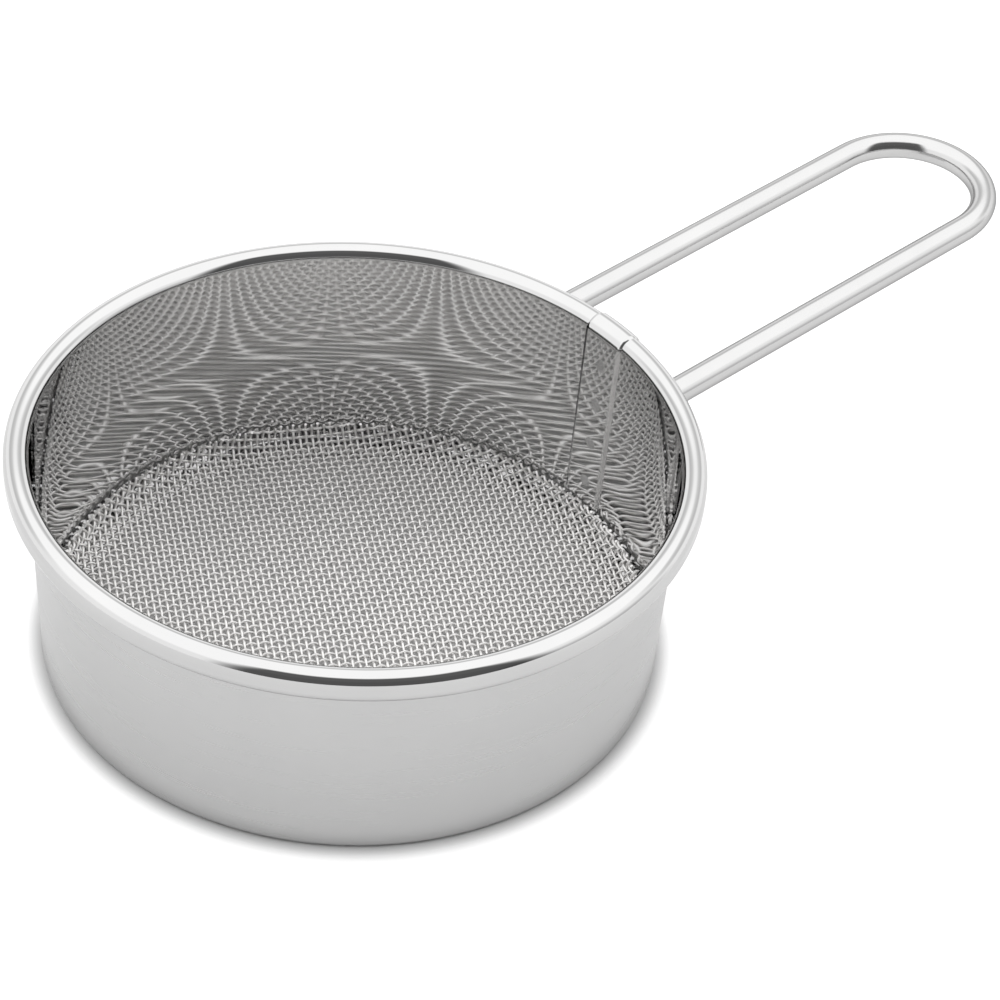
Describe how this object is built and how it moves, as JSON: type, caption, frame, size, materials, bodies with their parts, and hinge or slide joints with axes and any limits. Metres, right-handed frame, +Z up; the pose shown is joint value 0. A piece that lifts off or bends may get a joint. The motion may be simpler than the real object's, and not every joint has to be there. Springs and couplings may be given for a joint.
{
  "type": "flour sifter",
  "caption": "Round stainless hand sieve: lapped band with a rolled rim, woven wire mesh tray in its base and a welded wire loop handle.",
  "frame": {"origin": "centre of the circle on which the band's lip rests, on the sieve's axis", "axes": "+X out along the loop handle, +Y to the handle's left leg, +Z up out of the bowl"},
  "size_m": [0.2145, 0.12, 0.0434],
  "materials": {
    "band_steel": "polished",
    "mesh_steel": "bright drawn wire",
    "handle_steel": "polished",
    "hoop_steel": "drawn wire",
    "weld_metal": "satin weld"
  },
  "bodies": {
    "root": {"sieve_band": "band_steel", "rim_wire": "hoop_steel", "seam_spot_welds": "weld_metal", "woven_mesh_tray": "mesh_steel", "mesh_spot_welds": "weld_metal", "loop_handle": "handle_steel", "handle_weld_left": "weld_metal", "handle_weld_right": "weld_metal"}
  },
  "joints": []
}
